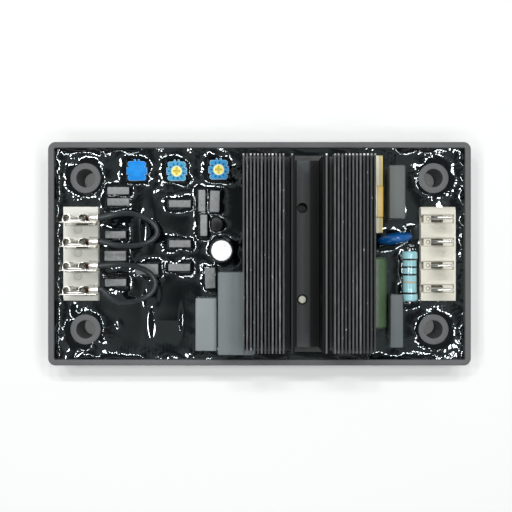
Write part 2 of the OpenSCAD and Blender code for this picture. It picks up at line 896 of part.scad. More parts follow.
module bobbin_shape() {
    corner = [former_spot[0] - former_size[0] / 2, former_spot[1] - former_size[1] / 2, board_top];
    translate(corner)
        cube([former_size[0], flange_y[0], former_size[2]]);
    translate(corner + [0, former_size[1] - flange_y[1], 0])
        cube([former_size[0], flange_y[1], former_size[2]]);
    translate(corner + [(former_size[0] - limb_size[0]) / 2, limb_in, limb_low])
        cube([limb_size[0], former_size[1] - 2 * limb_in, limb_size[1]]);
}

module winding_space() {
    translate([former_spot[0] - former_size[0] / 2 - winding_over,
            former_spot[1] - former_size[1] / 2 + flange_y[0], board_top])
        cube([former_size[0] + 2 * winding_over,
            former_size[1] - flange_y[0] - flange_y[1], winding_h]);
}

module transformer_bobbin() {
    color([0.94, 0.93, 0.82])
        bobbin_shape();
}

module transformer_winding() {
    color([0.88, 0.76, 0.4])
        difference() {
            winding_space();
            bobbin_shape();
        }
}

// Small transistor and the control chip in the resin

module to92_shape() {
    translate([to92_spot[0], to92_spot[1], board_top])
        linear_extrude(to92_h)
            intersection() {
                circle(d = to92_d);
                translate([-to92_flat, -to92_d])
                    square(2 * to92_d);
            }
}

module small_transistor() {
    color([0.08, 0.08, 0.08])
        to92_shape();
}

module chip_shape() {
    translate([chip_spot[0] - chip_size[0] / 2, chip_spot[1] - chip_size[1] / 2, board_top])
        cube(chip_size);
}

module control_chip() {
    color([0.08, 0.08, 0.08])
        chip_shape();
}

case();
circuit_board();
potting_resin();
power_transistor_1();
power_transistor_2();
insulating_pad();
heat_sink();
sink_screw_1();
sink_screw_2();
terminal_block_left();
terminal_block_right();
tab_left_1();
tab_left_2();
tab_left_3();
tab_left_4();
tab_right_1();
tab_right_2();
tab_right_3();
tab_right_4();
receptacle_1();
receptacle_2();
receptacle_3();
receptacle_4();
jumper_wire_upper();
jumper_wire_lower();
trimmer_body_1();
trimmer_body_2();
trimmer_body_3();
trimmer_rotor_1();
trimmer_rotor_2();
trimmer_rotor_3();
trimmer_seal();
small_capacitor_1();
small_capacitor_2();
small_capacitor_3();
small_capacitor_4();
small_capacitor_5();
small_capacitor_6();
small_capacitor_7();
small_capacitor_8();
small_capacitor_9();
small_capacitor_10();
small_capacitor_11();
small_capacitor_12();
small_capacitor_13();
film_capacitor_1();
film_capacitor_2();
film_capacitor_3();
film_capacitor_4();
electrolytic_can();
electrolytic_sleeve();
wirewound_resistor();
film_resistor();
varistor();
transformer_bobbin();
transformer_winding();
small_transistor();
control_chip();
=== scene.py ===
import math

import bpy
import numpy as np
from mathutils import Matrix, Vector


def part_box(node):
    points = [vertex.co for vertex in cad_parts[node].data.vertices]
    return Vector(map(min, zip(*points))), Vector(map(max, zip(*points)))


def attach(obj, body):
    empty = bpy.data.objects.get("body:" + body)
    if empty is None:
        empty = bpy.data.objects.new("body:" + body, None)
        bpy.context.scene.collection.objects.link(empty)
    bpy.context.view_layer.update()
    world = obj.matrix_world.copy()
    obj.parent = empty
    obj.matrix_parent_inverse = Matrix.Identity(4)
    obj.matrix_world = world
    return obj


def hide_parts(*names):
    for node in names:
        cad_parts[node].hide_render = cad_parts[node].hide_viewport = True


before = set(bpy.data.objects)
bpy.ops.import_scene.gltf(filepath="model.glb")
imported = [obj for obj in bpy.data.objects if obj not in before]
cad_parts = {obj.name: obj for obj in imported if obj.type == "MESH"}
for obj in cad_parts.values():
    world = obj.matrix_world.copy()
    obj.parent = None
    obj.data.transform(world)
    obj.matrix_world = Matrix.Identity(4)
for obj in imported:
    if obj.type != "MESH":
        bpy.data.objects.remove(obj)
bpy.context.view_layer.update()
scene = bpy.context.scene
MM = 0.001


# Camera
# The tray is seen square from above, from about 300 mm over its rim, with the tray's
# long side across the picture. The picture's width is what the frame spans at the rim.
rim_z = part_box("case")[1].z
camera_rise = 300 * MM
camera_x, camera_y = -1.15 * MM, -0.74 * MM
picture_width = 168.25 * MM
sensor_width = 36
camera = bpy.data.objects.new("camera", bpy.data.cameras.new("camera"))
camera.data.sensor_width = sensor_width
camera.data.lens = sensor_width * camera_rise / picture_width
camera.location = (camera_x, camera_y, rim_z + camera_rise)
scene.collection.objects.link(camera)
scene.camera = camera


# Floor and light
# A white table in a studio with pale walls and a dim ceiling. Twelve small lamps make a ring
# overhead: level resin doesn't mirror them upwards, but its raised edges do, as broken lines.
def worked(tree, operation, *parts):
    """The result of a sum on masks and plain numbers."""
    node = tree.nodes.new("ShaderNodeMath")
    node.operation = operation
    for socket, part in zip(node.inputs, parts):
        if isinstance(part, (int, float)):
            socket.default_value = part
        else:
            tree.links.new(part, socket)
    return node.outputs[0]


scene.view_settings.view_transform = "Standard"
world = bpy.data.worlds.new("studio")
world.use_nodes = True
scene.world = world
sky = world.node_tree
sky.nodes.clear()
sky_out = sky.nodes.new("ShaderNodeOutputWorld")
sky_way = sky.nodes.new("ShaderNodeTexCoord")
sky_split = sky.nodes.new("ShaderNodeSeparateXYZ")
sky_tone = sky.nodes.new("ShaderNodeValToRGB")
# How high a direction points, from 0 for level to 1 for straight up, and how bright it is there
sky_tones = [(0.06, 0.9), (0.25, 0.5), (0.45, 0.14), (0.90, 0.11), (0.955, 0.33), (0.985, 0.38),
             (0.998, 0.08)]
while len(sky_tone.color_ramp.elements) < len(sky_tones):
    sky_tone.color_ramp.elements.new(0.5)
for stop, (rise, tone) in zip(sky_tone.color_ramp.elements, sky_tones):
    stop.position = rise
    stop.color = (0.95 * tone, tone, tone, 1)
sky.links.new(sky_way.outputs["Generated"], sky_split.inputs[0])
sky.links.new(sky_split.outputs["Z"], sky_tone.inputs["Fac"])
sky_light = sky.nodes.new("ShaderNodeBackground")
sky_light.inputs["Strength"].default_value = 1
sky.links.new(sky_tone.outputs["Color"], sky_light.inputs["Color"])
sky.links.new(sky_light.outputs[0], sky_out.inputs["Surface"])

bpy.ops.object.select_all(action="DESELECT")
bpy.ops.mesh.primitive_plane_add(size=3)
floor = bpy.context.object
floor.name = "floor"
table_top = bpy.data.materials.new("table_top")
table_top.use_nodes = True
tree = table_top.node_tree
shaded = tree.nodes["Principled BSDF"]
shaded.inputs["Base Color"].default_value = (0.97, 0.97, 0.97, 1)
shaded.inputs["Roughness"].default_value = 0.9
shaded.inputs["Specular IOR Level"].default_value = 0
# A share of the table glows, only to the eye and in mirrors, so that it looks white
glow_share = 0.1
glow = tree.nodes.new("ShaderNodeEmission")
path = tree.nodes.new("ShaderNodeLightPath")
mirrored = worked(tree, "MAXIMUM", path.outputs["Is Camera Ray"], path.outputs["Is Glossy Ray"])
seen = worked(tree, "MAXIMUM", mirrored, path.outputs["Is Transmission Ray"])
blend = tree.nodes.new("ShaderNodeMixShader")
tree.links.new(worked(tree, "MULTIPLY", seen, glow_share), blend.inputs["Fac"])
tree.links.new(shaded.outputs[0], blend.inputs[1])
tree.links.new(glow.outputs[0], blend.inputs[2])
tree.links.new(blend.outputs[0], tree.nodes["Material Output"].inputs["Surface"])
floor.data.materials.append(table_top)

lamp_size = (0.05, 0.032)
lamp_height = 0.64
lamp_radius = 0.25
lamp_watts = 0.357
lamp_count = 12
# The lamps differ in power along X and along Y: those towards the trimmers are the strongest
lean_x, lean_y = -0.1, 0.55
for k in range(lamp_count):
    turn = 2 * math.pi * (k + 0.5) / lamp_count
    lamp = bpy.data.objects.new(f"lamp_{k + 1}", bpy.data.lights.new(f"lamp_{k + 1}", "AREA"))
    lamp.data.shape = "RECTANGLE"
    lamp.data.size, lamp.data.size_y = lamp_size
    lamp.data.energy = lamp_watts * (1 + lean_y * math.sin(turn) + lean_x * math.cos(turn))
    lamp.location = (lamp_radius * math.cos(turn), lamp_radius * math.sin(turn), lamp_height)
    lamp.rotation_euler = lamp.location.to_track_quat("Z", "Y").to_euler()
    scene.collection.objects.link(lamp)


# Jumper wires
# Two short lengths of stranded wire in black vinyl, each linking one push-on receptacle to
# the next. They leave the crimps level, loop out over the resin and come back.
wire_width = 1.8 * MM
crimp_mouth = -51.1
crimp_level = 27.3
crimp_rows = [11.48, 3.86, -3.76, -11.38]
held_in_crimp, straight_out = 1.2, 1
# Places on the way from crimp to crimp: X, Y and drop below the crimps
upper_route = [
    (-46, 12.5, 1.2), (-42, 13, 4), (-38.5, 12.2, 6.4), (-35.5, 10.6, 7.8),
    (-33.6, 8.4, 8), (-33.5, 6.2, 8), (-35, 4.4, 7.8), (-37.5, 3.3, 7), (-40.5, 2.6, 5.2),
    (-43.5, 2.6, 3), (-46.5, 2.8, 1.2),
]
lower_route = [
    (-46.5, -3.5, 1.2), (-43.5, -3.5, 3), (-40.5, -4, 5.4), (-37.5, -5.2, 7.2),
    (-35.3, -6.8, 8), (-34.1, -8.8, 8), (-34, -10.4, 8), (-34.8, -12.2, 8), (-36.5, -13.8, 7.8),
    (-39, -15, 6.6), (-42, -15.6, 4.6), (-45, -15.4, 2.4), (-47.6, -13.8, 0.8),
]


def smooth_line(points, steps=5):
    """The points of a smooth curve that passes through each given point."""
    p = [np.array(q, float) for q in points]
    line = []
    for i in range(len(p) - 1):
        a, b, c, d = p[max(i - 1, 0)], p[i], p[i + 1], p[min(i + 2, len(p) - 1)]
        for s in range(steps):
            t = s / steps
            line.append(0.5 * (2 * b + (c - a) * t + (2 * a - 5 * b + 4 * c - d) * t * t
                               + (3 * b - a - 3 * c + d) * t ** 3))
    return line + [p[-1]]


def surface_grain():
    """Node group: fine grain and broad blotches of a surface, both from 0 to 1."""
    group = bpy.data.node_groups.new("surface_grain", "ShaderNodeTree")
    group.interface.new_socket("Fine Scale", in_out="INPUT", socket_type="NodeSocketFloat")
    group.interface.new_socket("Broad Scale", in_out="INPUT", socket_type="NodeSocketFloat")
    group.interface.new_socket("Fine", in_out="OUTPUT", socket_type="NodeSocketFloat")
    group.interface.new_socket("Broad", in_out="OUTPUT", socket_type="NodeSocketFloat")
    inside = group.nodes.new("NodeGroupInput")
    outside = group.nodes.new("NodeGroupOutput")
    place = group.nodes.new("ShaderNodeTexCoord")
    for name in ("Fine", "Broad"):
        noise = group.nodes.new("ShaderNodeTexNoise")
        noise.inputs["Detail"].default_value = 4
        group.links.new(place.outputs["Object"], noise.inputs["Vector"])
        group.links.new(inside.outputs[name + " Scale"], noise.inputs["Scale"])
        group.links.new(noise.outputs["Fac"], outside.inputs[name])
    return group


grain_group = surface_grain()


def srgb(r, g, b):
    """A colour as it looks on screen, 0 to 255, as a linear colour."""
    return tuple(((c / 255 + 0.055) / 1.055) ** 2.4 if c > 10 else c / 255 / 12.92
                 for c in (r, g, b)) + (1,)


gloss_spread, least_roughness = 0.1, 0.02


def plain_finish(name, light, dark, roughness, fine=3000, broad=160, bump=0.1, depth=0.05,
                 metallic=0.0, coat=0.0):
    """A material with grain in its relief and gloss, and broad blotches in its colour."""
    material = bpy.data.materials.new(name)
    material.use_nodes = True
    tree = material.node_tree
    shader = tree.nodes["Principled BSDF"]
    grain = tree.nodes.new("ShaderNodeGroup")
    grain.node_tree = grain_group
    grain.inputs["Fine Scale"].default_value = fine
    grain.inputs["Broad Scale"].default_value = broad
    tint = tree.nodes.new("ShaderNodeMix")
    tint.data_type = "RGBA"
    tint.inputs["A"].default_value = dark
    tint.inputs["B"].default_value = light
    tree.links.new(grain.outputs["Broad"], tint.inputs["Factor"])
    tree.links.new(tint.outputs["Result"], shader.inputs["Base Color"])
    gloss = tree.nodes.new("ShaderNodeMapRange")
    gloss.inputs["To Min"].default_value = max(roughness - gloss_spread, least_roughness)
    gloss.inputs["To Max"].default_value = min(roughness + gloss_spread, 1)
    tree.links.new(grain.outputs["Fine"], gloss.inputs["Value"])
    tree.links.new(gloss.outputs["Result"], shader.inputs["Roughness"])
    relief = tree.nodes.new("ShaderNodeBump")
    relief.inputs["Strength"].default_value = bump
    relief.inputs["Distance"].default_value = depth * MM
    tree.links.new(grain.outputs["Fine"], relief.inputs["Height"])
    tree.links.new(relief.outputs["Normal"], shader.inputs["Normal"])
    shader.inputs["Metallic"].default_value = metallic
    shader.inputs["Coat Weight"].default_value = coat
    return material


def dress(piece, material):
    """Gives a piece one material all over."""
    piece.data.materials.clear()
    piece.data.materials.append(material)


def round_run(name, lines, width, material):
    """A curve object of round wires, each along its own line of points."""
    shape = bpy.data.curves.new(name, "CURVE")
    shape.dimensions = "3D"
    shape.bevel_depth = width / 2
    shape.bevel_resolution = 6
    shape.use_fill_caps = True
    for line in lines:
        run = shape.splines.new("POLY")
        run.points.add(len(line) - 1)
        for point, place in zip(run.points, line):
            point.co = (*place, 1)
        run.use_smooth = True
    wire = bpy.data.objects.new(name, shape)
    scene.collection.objects.link(wire)
    dress(wire, material)
    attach(wire, "base")
    return wire


vinyl = plain_finish("black_vinyl", srgb(52, 58, 60), srgb(33, 38, 40), 0.42,
                     fine=1500, broad=300, bump=0.25, depth=0.04)


def jumper(node, row_a, row_b, route):
    """A wire from one crimp to another along a route, given as x, y and drop below the crimps."""
    start = [(crimp_mouth + dx, row_a, 0) for dx in (-held_in_crimp, 0, straight_out)]
    end = [(crimp_mouth + dx, row_b, 0) for dx in (straight_out, 0, -held_in_crimp)]
    line = [np.array((x, y, crimp_level - drop)) * MM
            for x, y, drop in smooth_line(start + route + end)]
    wire = round_run(node + "_wire", [line], wire_width, vinyl)
    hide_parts(node)


jumper("jumper_wire_upper", crimp_rows[0], crimp_rows[1], upper_route)
jumper("jumper_wire_lower", crimp_rows[2], crimp_rows[3], lower_route)


# Case
# One tray injection-moulded in black plastic, with four fixing bosses standing in its
# corners. The moulding has a fine matte grain that looks mid grey where light falls on it.
weld_distance = 0.002 * MM
flat_angle, smooth_angle = math.radians(1), math.radians(35)


def softened(node, width, material, segments=3, body="base", angle=40):
    """A copy of a CAD node with its sharp edges rounded, standing for the node."""
    bpy.ops.object.select_all(action="DESELECT")
    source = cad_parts[node]
    piece = bpy.data.objects.new(node + "_rounded", source.data.copy())
    scene.collection.objects.link(piece)
    bpy.context.view_layer.objects.active = piece
    piece.select_set(True)
    bpy.ops.object.mode_set(mode="EDIT")
    bpy.ops.mesh.select_all(action="SELECT")
    bpy.ops.mesh.remove_doubles(threshold=weld_distance)
    bpy.ops.mesh.dissolve_limited(angle_limit=flat_angle)
    bpy.ops.object.mode_set(mode="OBJECT")
    edge = piece.modifiers.new("edge", "BEVEL")
    edge.width = width
    edge.segments = segments
    edge.limit_method = "ANGLE"
    edge.angle_limit = math.radians(angle)
    edge.use_clamp_overlap = True
    bpy.ops.object.modifier_apply(modifier="edge")
    bpy.ops.object.shade_smooth_by_angle(angle=smooth_angle)
    dress(piece, material)
    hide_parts(node)
    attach(piece, body)
    return piece


case_plastic = plain_finish("case_plastic", srgb(104, 106, 107), srgb(82, 84, 85), 0.62,
                            fine=5000, broad=90, bump=0.35, depth=0.06)
softened("case", 0.25 * MM, case_plastic)


# Potting resin
# Black two-part resin poured round the board and cured glossy. It creeps up every part that
# stands in it, so its surface rises in a curved edge at each one and along the tray's walls.
resin_low, resin_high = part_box("potting_resin")
level = resin_high.z
# How high the resin climbs and how far out it starts, in millimetres
wall_creep = (1.6, 1.5)
low_wall_creep = (0.45, 2.6)
boss_creep = (0.95, 1.9)
foot_reach = 0.4
highest_climb = 2.4
# Uneven patterns in the surface, each as the seed and the span of its waves
climb_waves, ripple_waves, level_waves = (3, 8.0), (5, 1.4), (8, 16.0)
ripple_height, level_height = 0.02, 0.03
# Walls by axis and side, each with the stretches along it where the resin climbs high
climbs = [("X", -1, [(-36, 36)]),
          ("X", 1, [(-36, -24), (9.8, 12), (17.4, 21.7), (24.5, 25.5), (30, 36)]),
          ("Y", 1, [(-66, -52), (-51, -40), (46, 57)]),
          ("Y", -1, [(-59, -39), (37, 45), (46, 57)])]
boss_places = [(sx * 57.5, sy * 25.0) for sx in (-1, 1) for sy in (-1, 1)]
boss_radius = 5.0
# Parts in the resin, with how far the resin climbs each of them and how far out it starts
standing = {"terminal_block_left": (0.06, 1.3), "terminal_block_right": (0.06, 1.3),
            "trimmer_body_1": (1.6, 1.6), "trimmer_body_2": (1.6, 1.6),
            "trimmer_body_3": (1.6, 1.6),
            "film_capacitor_1": (0.24, 1.8), "film_capacitor_2": (0.1, 1.8),
            "film_capacitor_3": (0.1, 1.8), "film_capacitor_4": (0.1, 1.8),
            "electrolytic_sleeve": (1.3, 1.5), "small_transistor": (1.2, 1.1),
            "wirewound_resistor": (0.1, 1.6), "film_resistor": (0.8, 1.2),
            "transformer_bobbin": (0.06, 1.3), "power_transistor_1": (0.2, 0.6),
            "power_transistor_2": (0.2, 0.6)}
standing.update({f"small_capacitor_{k}": (1.25, 1.35) for k in range(1, 14)})
round_parts = ("electrolytic_sleeve", "small_transistor")
lying_parts = ("film_resistor", "wirewound_resistor")
# Disc on edge: middle, half length and half thickness, turn, climb and reach
disc_creep = ((44.7, 5.0), (5.6, 1.8), 8, (1.2, 1.3))
# Low swellings over parts that the resin covers: middle, half size and height
covered = [((-31, -22), (5.0, 3.3), 0.75), ((-35.6, -14.4), (2.4, 2.6), 0.45),
           ((-37.2, 8.6), (1.5, 3.4), 0.8), ((-31.6, 20.5), (3.0, 1.2), 0.3),
           ((-60.5, -19.0), (1.4, 1.4), 0.6), ((56.0, -19.0), (2.5, 1.0), 0.35),
           ((-46.8, -23.5), (0.7, 0.8), 0.3)]


def wander(x, y, seed, span):
    """A smooth uneven pattern from about -1 to 1, with waves of about the given span."""
    dice = np.random.default_rng(seed)
    total = np.zeros_like(x)
    for _ in range(7):
        turn, phase = dice.uniform(0, 2 * np.pi), dice.uniform(0, 2 * np.pi)
        wave = span * dice.uniform(0.6, 1.6)
        total += np.sin((x * np.cos(turn) + y * np.sin(turn)) * 2 * np.pi / wave + phase)
    return total / 2.6


def soft_step(value, steepness):
    """0 well below zero and 1 well above it, with a soft change between."""
    return 1 / (1 + np.exp(-value * steepness))


def box_distance(x, y, low_x, low_y, high_x, high_y):
    """How far places lie outside a rectangle, and 0 inside it."""
    out_x = np.maximum(np.maximum(low_x - x, x - high_x), 0)
    out_y = np.maximum(np.maximum(low_y - y, y - high_y), 0)
    return np.hypot(out_x, out_y)


def footprint(node):
    """Two corners of the part's outline in the resin, in millimetres, without its small nubs."""
    low, high = (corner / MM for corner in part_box(node))
    if node.startswith("trimmer"):
        nubs = Vector((0.4, 0.35, 0))
        low, high = low + nubs, high - nubs
    return low, high


def resin_height(x, y):
    """Height of the cured surface above its level, in millimetres, at places in millimetres."""
    uneven = np.clip(0.85 + 0.5 * wander(x, y, *climb_waves), 0.12, 1.1)
    total = np.zeros_like(x)

    def add(outside, creep):
        nonlocal total
        rise, reach = creep
        # A high climb ends in a steep foot and a low one doesn't
        steep = 0.4 * np.clip((rise - 0.45) / 0.5, 0, 1)
        away = np.maximum(outside, 0)
        shape = (1 - steep) * np.exp(-away / reach) + steep * np.exp(-away / foot_reach)
        total = total + (rise * uneven * shape) ** 3

    for axis, side, spans in climbs:
        across, along, wall = (x, y, resin_high.x) if axis == "X" else (y, x, resin_high.y)
        high = sum(soft_step(along - start, 3) * soft_step(end - along, 3) for start, end in spans)
        creep = [low + (top - low) * high for low, top in zip(low_wall_creep, wall_creep)]
        add(wall / MM - side * across, creep)
    for px, py in boss_places:
        add(np.hypot(x - px, y - py) - boss_radius, boss_creep)
    for node, creep in standing.items():
        low, high = footprint(node)
        if node in round_parts:
            middle = (low + high) / 2
            add(np.hypot(x - middle.x, y - middle.y) - (high.x - low.x) / 2, creep)
        else:
            add(box_distance(x, y, low.x, low.y, high.x, high.y), creep)
    (px, py), (half, thick), turn, creep = disc_creep
    c, s = math.cos(math.radians(turn)), math.sin(math.radians(turn))
    along, across = (x - px) * c + (y - py) * s, (y - py) * c - (x - px) * s
    add(box_distance(along, across, -half, -thick, half, thick), creep)
    climbed = np.cbrt(total)
    for (px, py), (sx, sy), rise in covered:
        end = soft_step(sx - np.abs(x - px), 2.6)
        side = soft_step(sy - np.abs(y - py), 1.6 / sy)
        total = total + (rise * end * side) ** 3
    ripple = ripple_height * wander(x, y, *ripple_waves) * np.clip(climbed / 0.3, 0, 1)
    return np.cbrt(total) + ripple + level_height * wander(x, y, *level_waves)


def inside_part(x, y, margin):
    """True where a place lies inside a part that stands in the resin, past a margin."""
    hit = np.zeros(x.shape, bool)
    for px, py in boss_places:
        hit |= np.hypot(x - px, y - py) < boss_radius - margin
    for node in standing:
        low, high = footprint(node)
        if node in round_parts:
            middle = (low + high) / 2
            hit |= np.hypot(x - middle.x, y - middle.y) < (high.x - low.x) / 2 - margin
        elif node not in lying_parts:
            hit |= ((x > low.x + margin) & (x < high.x - margin)
                    & (y > low.y + margin) & (y < high.y - margin))
    return hit


bpy.ops.object.select_all(action="DESELECT")
resin_columns, resin_rows = 392, 258
bpy.ops.mesh.primitive_grid_add(x_subdivisions=resin_columns, y_subdivisions=resin_rows, size=2)
resin = bpy.context.object
resin.name = "potting_resin_poured"
count = len(resin.data.vertices)
flat = np.empty(count * 3)
resin.data.vertices.foreach_get("co", flat)
grid = flat.reshape(-1, 3)
# The columns stand close where the resin shows and wide under the heat sink
sink_low, sink_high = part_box("heat_sink")
stops = np.array([-1, 0.25, 0.33, 1.0])
places = np.array([resin_low.x, sink_low.x + 2 * MM, sink_high.x - 2 * MM, resin_high.x]) / MM
x = np.interp(grid[:, 0], stops, places)
y = grid[:, 1] * resin_high.y / MM
grid[:, 0] = x * MM
grid[:, 1] = y * MM
grid[:, 2] = level + np.minimum(resin_height(x, y), highest_climb) * MM
resin.data.vertices.foreach_set("co", grid.ravel())
resin.data.update()
# The surface is open where a part stands, a little inside the part's outline
cut_margin = 0.45
middles = np.array([f.center[:] for f in resin.data.polygons]) / MM
buried = inside_part(middles[:, 0], middles[:, 1], cut_margin)
resin.data.polygons.foreach_set("select", buried)
resin.data.edges.foreach_set("select", np.zeros(len(resin.data.edges), bool))
resin.data.vertices.foreach_set("select", np.zeros(count, bool))
bpy.ops.object.mode_set(mode="EDIT")
bpy.ops.mesh.select_mode(type="FACE")
bpy.ops.mesh.delete(type="FACE")
bpy.ops.mesh.select_all(action="SELECT")
bpy.ops.mesh.region_to_loop()
# Its borders go down to one flat underside
bpy.ops.mesh.extrude_edges_move(TRANSFORM_OT_translate={"value": (0, 0, -0.02)})
bpy.ops.transform.resize(value=(1, 1, 0), center_override=(0, 0, resin_low.z))
bpy.ops.mesh.fill(use_beauty=False)
bpy.ops.mesh.select_all(action="SELECT")
bpy.ops.mesh.normals_make_consistent(inside=False)
bpy.ops.object.mode_set(mode="OBJECT")
bpy.ops.object.shade_smooth_by_angle(angle=math.radians(60))
cured = plain_finish("cured_resin", srgb(11, 14, 16), srgb(6, 9, 11), 0.1,
                     fine=260, broad=45, bump=0.04, depth=0.25)
# Its grain leaves it glossy all over
highest_roughness = 0.07
cured.node_tree.nodes["Map Range"].inputs["To Max"].default_value = highest_roughness
shader = cured.node_tree.nodes["Principled BSDF"]
shader.inputs["Specular IOR Level"].default_value = 1
shader.inputs["Specular Tint"].default_value = (0.88, 0.98, 1, 1)
dress(resin, cured)
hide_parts("potting_resin")
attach(resin, "base")


# Board, power stage and pad
# The board, the two power transistors, the chip and the screws lie in the resin or under the
# heat sink. Only a screw end and the edge of the black silicone pad can be seen.
def painted(material, mask, colour):
    """Puts a colour over a material's own colour where a mask is 1."""
    tree = material.node_tree
    base = tree.nodes["Principled BSDF"].inputs["Base Color"]
    under = base.links[0].from_socket
    over = tree.nodes.new("ShaderNodeMix")
    over.data_type = "RGBA"
    tree.links.new(mask, over.inputs["Factor"])
    tree.links.new(under, over.inputs["A"])
    over.inputs["B"].default_value = colour
    tree.links.new(over.outputs["Result"], base)


def set_shine(material, level):
    """Sets how strongly a material's surface mirrors, where 0.5 is usual."""
    material.node_tree.nodes["Principled BSDF"].inputs["Specular IOR Level"].default_value = level


def distance(tree, across, along):
    """Distance from a point, from how far a place lies away from it along two axes."""
    return worked(tree, "SQRT", worked(tree, "ADD", worked(tree, "POWER", across, 2),
                                       worked(tree, "POWER", along, 2)))


def round_place(tree, middle):
    """Distance from an upright axis in millimetres, and the turn round it in whole turns."""
    place = tree.nodes.new("ShaderNodeTexCoord")
    shift = tree.nodes.new("ShaderNodeMapping")
    shift.inputs["Location"].default_value = (-middle[0], -middle[1], 0)
    shift.inputs["Scale"].default_value = (1 / MM, 1 / MM, 0)
    split = tree.nodes.new("ShaderNodeSeparateXYZ")
    tree.links.new(place.outputs["Object"], shift.inputs["Vector"])
    tree.links.new(shift.outputs["Vector"], split.inputs[0])
    x, y = split.outputs["X"], split.outputs["Y"]
    turn = worked(tree, "DIVIDE", worked(tree, "ARCTAN2", y, x), 2 * math.pi)
    return distance(tree, x, y), turn


def between(tree, value, low, high, soft=0.05):
    """1 where a value lies between two limits, with soft ends."""
    up = tree.nodes.new("ShaderNodeMapRange")
    up.inputs["From Min"].default_value = low - soft
    up.inputs["From Max"].default_value = low + soft
    down = tree.nodes.new("ShaderNodeMapRange")
    down.inputs["From Min"].default_value = high + soft
    down.inputs["From Max"].default_value = high - soft
    tree.links.new(value, up.inputs["Value"])
    tree.links.new(value, down.inputs["Value"])
    return worked(tree, "MULTIPLY", up.outputs["Result"], down.outputs["Result"])


board_green = plain_finish("board_mask", srgb(30, 92, 52), srgb(22, 74, 42), 0.35, broad=400)
black_epoxy = plain_finish("black_epoxy", srgb(18, 20, 22), srgb(9, 11, 13), 0.3, fine=2500)
set_shine(black_epoxy, 0.2)
pad_rubber = plain_finish("pad_rubber", srgb(40, 42, 43), srgb(28, 30, 31), 0.5, fine=900)
zinc = plain_finish("zinc_plate", srgb(255, 255, 236), srgb(236, 234, 208), 0.4, fine=2200,
                    broad=900, bump=0.3)
# The upper screw is painted near black: painted shade, standing for the dark of its hole
screw_shade_zinc = plain_finish("zinc_painted_shade", srgb(24, 24, 24), srgb(12, 12, 12), 0.6, fine=2200,
                         broad=900, bump=0.3)
# The screw's end is painted bright in its middle, against the channel's shade, and a ring of
# painted shade lies round it where it sits in its hole
screw_middle, shade_start, past_shade = (14, -15), 1.15, 9
tree = zinc.node_tree
far, _ = round_place(tree, screw_middle)
painted(zinc, between(tree, far, shade_start, past_shade), srgb(30, 30, 28))
dress(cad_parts["circuit_board"], board_green)
for node in ("power_transistor_1", "power_transistor_2", "control_chip"):
    dress(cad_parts[node], black_epoxy)
dress(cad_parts["insulating_pad"], pad_rubber)
dress(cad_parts["sink_screw_1"], zinc)
dress(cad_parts["sink_screw_2"], screw_shade_zinc)


# Heat sink
# One aluminium extrusion, black anodised: a deep channel down its middle and two wings that
# carry thin upright fins. The die leaves fine lines, and the fin edges are painted pale as
# highlights.
def stretched_noise(tree, scale):
    """Noise with its own scale along each axis of the piece."""
    place = tree.nodes.new("ShaderNodeTexCoord")
    stretch = tree.nodes.new("ShaderNodeMapping")
    stretch.inputs["Scale"].default_value = scale
    noise = tree.nodes.new("ShaderNodeTexNoise")
    noise.inputs["Scale"].default_value = 1
    noise.inputs["Detail"].default_value = 3
    tree.links.new(place.outputs["Object"], stretch.inputs["Vector"])
    tree.links.new(stretch.outputs["Vector"], noise.inputs["Vector"])
    return noise.outputs["Fac"]


def scaled(tree, value, gain, offset):
    """A value times a gain, plus an offset."""
    return worked(tree, "MULTIPLY_ADD", value, gain, offset)


def clamped(tree, value):
    """A value kept from 0 to 1."""
    return worked(tree, "MINIMUM", worked(tree, "MAXIMUM", value, 0), 1)


def all_of(tree, *masks):
    """Masks multiplied with each other: 1 only where each of them is 1."""
    result = masks[0]
    for mask in masks[1:]:
        result = worked(tree, "MULTIPLY", result, mask)
    return result


def along_axis(tree, axis):
    """A place's own coordinate along an axis of the piece, in millimetres."""
    place = tree.nodes.new("ShaderNodeTexCoord")
    split = tree.nodes.new("ShaderNodeSeparateXYZ")
    tree.links.new(place.outputs["Object"], split.inputs[0])
    return worked(tree, "DIVIDE", split.outputs[axis], MM)


def place_mask(tree, axis, start, end):
    """0 before one place along an axis of the piece and 1 after another, in millimetres."""
    span = tree.nodes.new("ShaderNodeMapRange")
    span.inputs["From Min"].default_value = start
    span.inputs["From Max"].default_value = end
    tree.links.new(along_axis(tree, axis), span.inputs["Value"])
    return span.outputs["Result"]


anodised = plain_finish("black_anodised", srgb(20, 22, 23), srgb(12, 14, 15), 0.5,
                        fine=2600, broad=120, bump=0.12)
set_shine(anodised, 0.15)
tree = anodised.node_tree
tree.links.new(stretched_noise(tree, (9000, 60, 9000)), tree.nodes["Bump"].inputs["Height"])
# Parts of the section, each as where its mask starts and where it is full
left_wing, right_wing = (8.2, 7.9), (22.0, 22.3)
fin_feet, fin_edges = (28.8, 29.2), (38.6, 38.9)
wings = worked(tree, "ADD", place_mask(tree, "X", *left_wing), place_mask(tree, "X", *right_wing))
fin_sides = all_of(tree, wings, place_mask(tree, "Z", *fin_feet))
fin_tops = all_of(tree, wings, place_mask(tree, "Z", *fin_edges))
